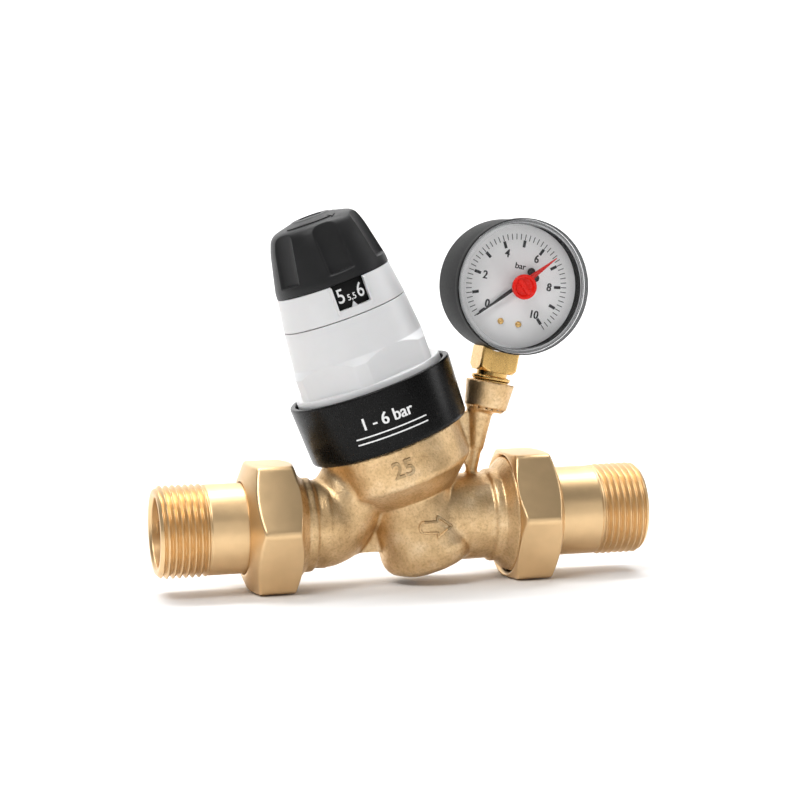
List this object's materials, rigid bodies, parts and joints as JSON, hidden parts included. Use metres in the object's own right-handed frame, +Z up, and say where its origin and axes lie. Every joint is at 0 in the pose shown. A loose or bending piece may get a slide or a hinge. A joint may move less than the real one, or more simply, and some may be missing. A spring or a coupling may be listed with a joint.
{
  "type": "pressure reducing valve",
  "caption": "Threaded pressure reducing valve: inclined cartridge with setting knob and scale window, union tail ends and a dial pressure gauge with set hand.",
  "frame": {"origin": "half-way along the pipe, in the symmetry plane, on the plane of the union nuts' lower flats", "axes": "+X downstream along the pipe, from the inlet tailpiece to the outlet tailpiece; -Y the side that the gauge dial and the scale window face; +Z up"},
  "size_m": [0.18, 0.0604, 0.135],
  "materials": {
    "cast_brass": "sand-cast, blasted",
    "machined_brass": "fine turned and satin",
    "bright_brass": "smooth machined",
    "white_plastic": "satin moulded",
    "knob_plastic": "fine grained",
    "black_plastic": "semi-gloss",
    "drum_plastic": "matt",
    "rubber": "moulded",
    "gasket_fibre": "pressed sheet",
    "steel": "ground",
    "dial_paint": "matt white enamel",
    "pointer_paint": "matt black",
    "red_plastic": "moulded",
    "window_plastic": "clear"
  },
  "bodies": {
    "body": {"valve_body": "cast_brass", "inlet_tailpiece": "machined_brass", "outlet_tailpiece": "machined_brass", "inlet_gasket": "gasket_fibre", "outlet_gasket": "gasket_fibre", "identification_ring": "black_plastic", "spring_bonnet": "white_plastic", "window_collar": "white_plastic", "diaphragm_clamp_ring": "white_plastic", "diaphragm": "rubber", "cartridge_sleeve": "white_plastic", "sleeve_upper_o_ring": "rubber", "sleeve_lower_o_ring": "rubber", "strainer": "steel", "seat_ring": "steel", "thrust_washer": "white_plastic", "gauge_socket": "bright_brass", "gauge_case": "black_plastic", "gauge_dial": "dial_paint", "dial_screw_left": "bright_brass", "dial_screw_right": "bright_brass", "gauge_window": "window_plastic", "bourdon_tube": "bright_brass", "movement_frame": "bright_brass"},
    "inlet_nut": {"inlet_union_nut": "machined_brass"},
    "outlet_nut": {"outlet_union_nut": "machined_brass"},
    "knob": {"adjustment_knob": "knob_plastic", "knob_fixing_screw": "knob_plastic", "scale_drum": "drum_plastic", "adjusting_screw": "bright_brass"},
    "spring_carrier": {"spring_nut": "bright_brass", "setting_spring": "steel"},
    "stem_assembly": {"stem": "steel", "obturator": "bright_brass", "obturator_seal": "rubber", "obturator_nut": "bright_brass", "balancing_piston": "bright_brass", "piston_o_ring": "rubber", "diaphragm_washer": "bright_brass", "spring_plate": "steel", "stem_lock_nut": "steel"},
    "sector": {"sector_gear": "bright_brass"},
    "pointer": {"pressure_pointer": "pointer_paint", "pointer_arbor": "bright_brass"},
    "set_pointer": {"set_hand": "red_plastic", "set_hand_hub": "red_plastic"}
  },
  "joints": [
    {"name": "spring_nut_travel", "type": "slide", "parent": "body", "child": "spring_carrier", "axis": [0.3256, 0, -0.9455], "range_m": [-0.0055, 0.00061], "deforming": ["setting_spring"]},
    {"name": "knob_turn", "type": "hinge", "parent": "body", "child": "knob", "pos_m": [0.0066, 0, 0.0227], "axis": [0.3256, 0, -0.9455], "range_deg": [-100, 12]},
    {"name": "obturator_travel", "type": "slide", "parent": "body", "child": "stem_assembly", "axis": [-0.3256, 0, 0.9455], "range_m": [0, 0.0026], "stiffness_N_per_m": 2000, "springref_m": -0.005, "deforming": ["diaphragm"]},
    {"name": "inlet_nut_turn", "type": "hinge", "parent": "body", "child": "inlet_nut", "pos_m": [-0.0498, 0, 0.0227], "axis": [1, 0, 0], "continuous": true},
    {"name": "outlet_nut_turn", "type": "hinge", "parent": "body", "child": "outlet_nut", "pos_m": [0.0475, 0, 0.0227], "axis": [1, 0, 0], "continuous": true},
    {"name": "sector_swing", "type": "hinge", "parent": "body", "child": "sector", "pos_m": [0.0399, 0, 0.09526], "axis": [0, -1, 0], "range_deg": [0, 33.75], "stiffness_Nm_per_rad": 0.002},
    {"name": "pointer_turn", "type": "hinge", "parent": "body", "child": "pointer", "pos_m": [0.0423, 0, 0.1061], "axis": [0, 1, 0], "range_deg": [0, 270]},
    {"name": "set_hand_turn", "type": "hinge", "parent": "body", "child": "set_pointer", "pos_m": [0.0423, 0, 0.1061], "axis": [0, 1, 0], "range_deg": [-178.2, 91.8]}
  ],
  "couplings": [
    {"joint": "knob_turn", "follows": "spring_nut_travel", "rad_per_m": 314.16},
    {"joint": "pointer_turn", "follows": "sector_swing", "ratio": 8}
  ]
}
